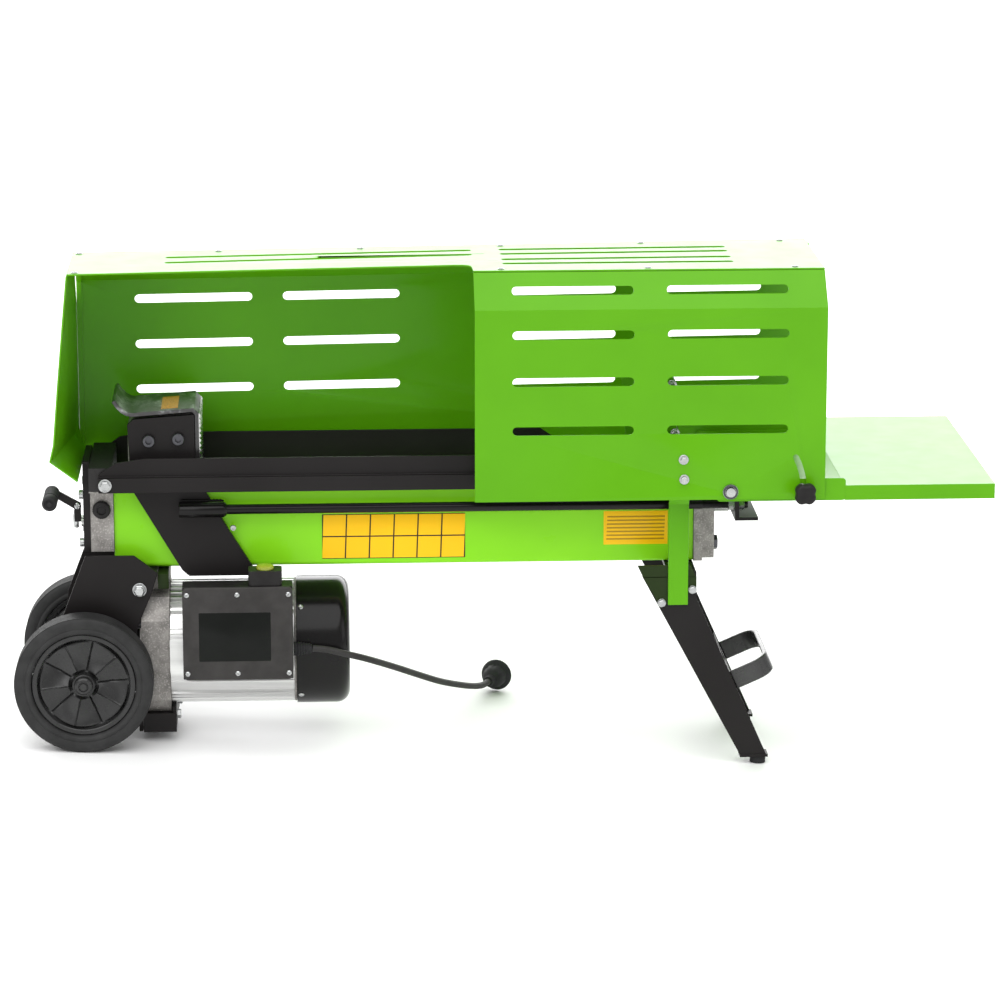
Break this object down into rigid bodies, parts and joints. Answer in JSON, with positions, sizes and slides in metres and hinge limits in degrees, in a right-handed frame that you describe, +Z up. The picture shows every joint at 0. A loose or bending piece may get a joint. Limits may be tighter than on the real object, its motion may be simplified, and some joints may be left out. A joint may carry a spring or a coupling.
{
  "type": "electric log splitter",
  "caption": "Wheeled electric hydraulic log splitter: a sliding pusher presses a log along a beam onto a wedge under a slotted sheet guard, with a tilting output table.",
  "frame": {"origin": "centre of the machine's footprint on the ground, cord and plug left out", "axes": "+X along the machine from the wheels to the output table, +Y away from the operator, +Z up"},
  "size_m": [1.1566, 0.398, 0.6114],
  "materials": {
    "green_coat": "gloss powder coat",
    "black_coat": "satin powder coat",
    "black_plastic": "moulded, lightly grained",
    "soft_rubber": "matt",
    "tyre_rubber": "grooved tread, smooth sidewall",
    "cast_aluminium": "rough casting",
    "extruded_aluminium": "extruded ribs, as drawn",
    "ground_steel": "ground",
    "zinc_steel": "zinc plated",
    "lime_plastic": "clear, gloss",
    "rotor_stack": "varnished laminations"
  },
  "bodies": {
    "frame": {"beam_tank": "green_coat", "valve_block": "cast_aluminium", "end_plate": "black_coat", "cylinder_head": "cast_aluminium", "drain_plug": "black_coat", "filler_plug": "black_plastic", "bed_wall_near": "black_coat", "bed_wall_far": "black_coat", "wedge": "green_coat", "wheel_bracket_near": "black_coat", "wheel_bracket_far": "black_coat", "axle": "zinc_steel", "cylinder_tube": "ground_steel", "pump_housing": "cast_aluminium", "motor_housing": "extruded_aluminium", "fan_cover": "black_plastic", "motor_foot": "black_coat", "switch_box": "black_plastic", "switch_box_lid": "black_plastic", "button_housing": "black_plastic", "cable_boot": "soft_rubber", "guard_roof": "green_coat", "guard_back": "green_coat", "guard_front": "green_coat", "guard_end": "green_coat", "strap_near": "green_coat", "strap_far": "green_coat", "leg_near": "black_coat", "leg_far": "black_coat", "leg_cross_plate": "black_coat", "lift_handle": "black_plastic", "foot_near": "soft_rubber", "foot_far": "soft_rubber", "table_pivot_near": "zinc_steel", "table_pivot_far": "zinc_steel", "power_cord": "soft_rubber", "plug": "soft_rubber"},
    "pusher": {"pusher_frame": "black_coat", "pusher_block": "cast_aluminium", "pusher_plate": "black_coat", "tie_rod_near": "black_coat", "tie_rod_far": "black_coat", "cross_bracket": "black_coat", "piston_rod": "ground_steel", "piston": "ground_steel"},
    "wheel_near": {"tyre_near": "tyre_rubber", "rim_near": "black_plastic"},
    "wheel_far": {"tyre_far": "tyre_rubber", "rim_far": "black_plastic"},
    "rotor": {"motor_rotor": "rotor_stack", "cooling_fan": "black_plastic", "drive_gear": "ground_steel"},
    "idler": {"idler_gear": "ground_steel"},
    "lever": {"control_lever": "black_coat", "lever_grip": "soft_rubber"},
    "spool": {"valve_spool": "ground_steel"},
    "button": {"switch_button": "lime_plastic"},
    "bleed": {"bleed_screw": "black_plastic"},
    "table": {"output_table": "green_coat"},
    "knob": {"table_knob": "black_plastic"}
  },
  "joints": [
    {"name": "pusher_slide", "type": "slide", "parent": "frame", "child": "pusher", "axis": [0.9993, 0, 0.0384], "range_m": [0, 0.49]},
    {"name": "wheel_near_spin", "type": "hinge", "parent": "frame", "child": "wheel_near", "pos_m": [-0.49494, -0.136, 0.083], "axis": [0, 1, 0], "continuous": true},
    {"name": "wheel_far_spin", "type": "hinge", "parent": "frame", "child": "wheel_far", "pos_m": [-0.49494, 0.054, 0.083], "axis": [0, 1, 0], "continuous": true},
    {"name": "rotor_spin", "type": "hinge", "parent": "frame", "child": "rotor", "pos_m": [-0.32399, -0.041, 0.11359], "axis": [0.9993, 0, 0.0384], "continuous": true},
    {"name": "idler_spin", "type": "hinge", "parent": "frame", "child": "idler", "pos_m": [-0.41011, -0.041, 0.1411], "axis": [0.9993, 0, 0.0384], "continuous": true},
    {"name": "lever_turn", "type": "hinge", "parent": "frame", "child": "lever", "pos_m": [-0.50866, -0.069, 0.28362], "axis": [0, -1, 0], "range_deg": [0, 12], "stiffness_Nm_per_rad": 1.2, "springref_deg": -8.59},
    {"name": "spool_slide", "type": "slide", "parent": "frame", "child": "spool", "axis": [0.9993, 0, 0.0384], "range_m": [0, 0.0042]},
    {"name": "button_press", "type": "slide", "parent": "frame", "child": "button", "axis": [0.0384, 0, -0.9993], "range_m": [0, 0.004], "stiffness_N_per_m": 400, "springref_m": -0.002},
    {"name": "bleed_turn", "type": "hinge", "parent": "frame", "child": "bleed", "pos_m": [-0.48975, -0.035, 0.26033], "axis": [0.9993, 0, 0.0384], "continuous": true},
    {"name": "table_tilt", "type": "hinge", "parent": "frame", "child": "table", "pos_m": [0.26349, -0.041, 0.34681], "axis": [0, -1, 0], "range_deg": [0, 27]},
    {"name": "knob_turn", "type": "hinge", "parent": "table", "child": "knob", "pos_m": [0.35042, -0.181, 0.35015], "axis": [0, 1, 0], "continuous": true}
  ],
  "couplings": [
    {"joint": "idler_spin", "follows": "rotor_spin", "ratio": -1},
    {"joint": "spool_slide", "follows": "lever_turn", "m_per_rad": 0.0193}
  ]
}
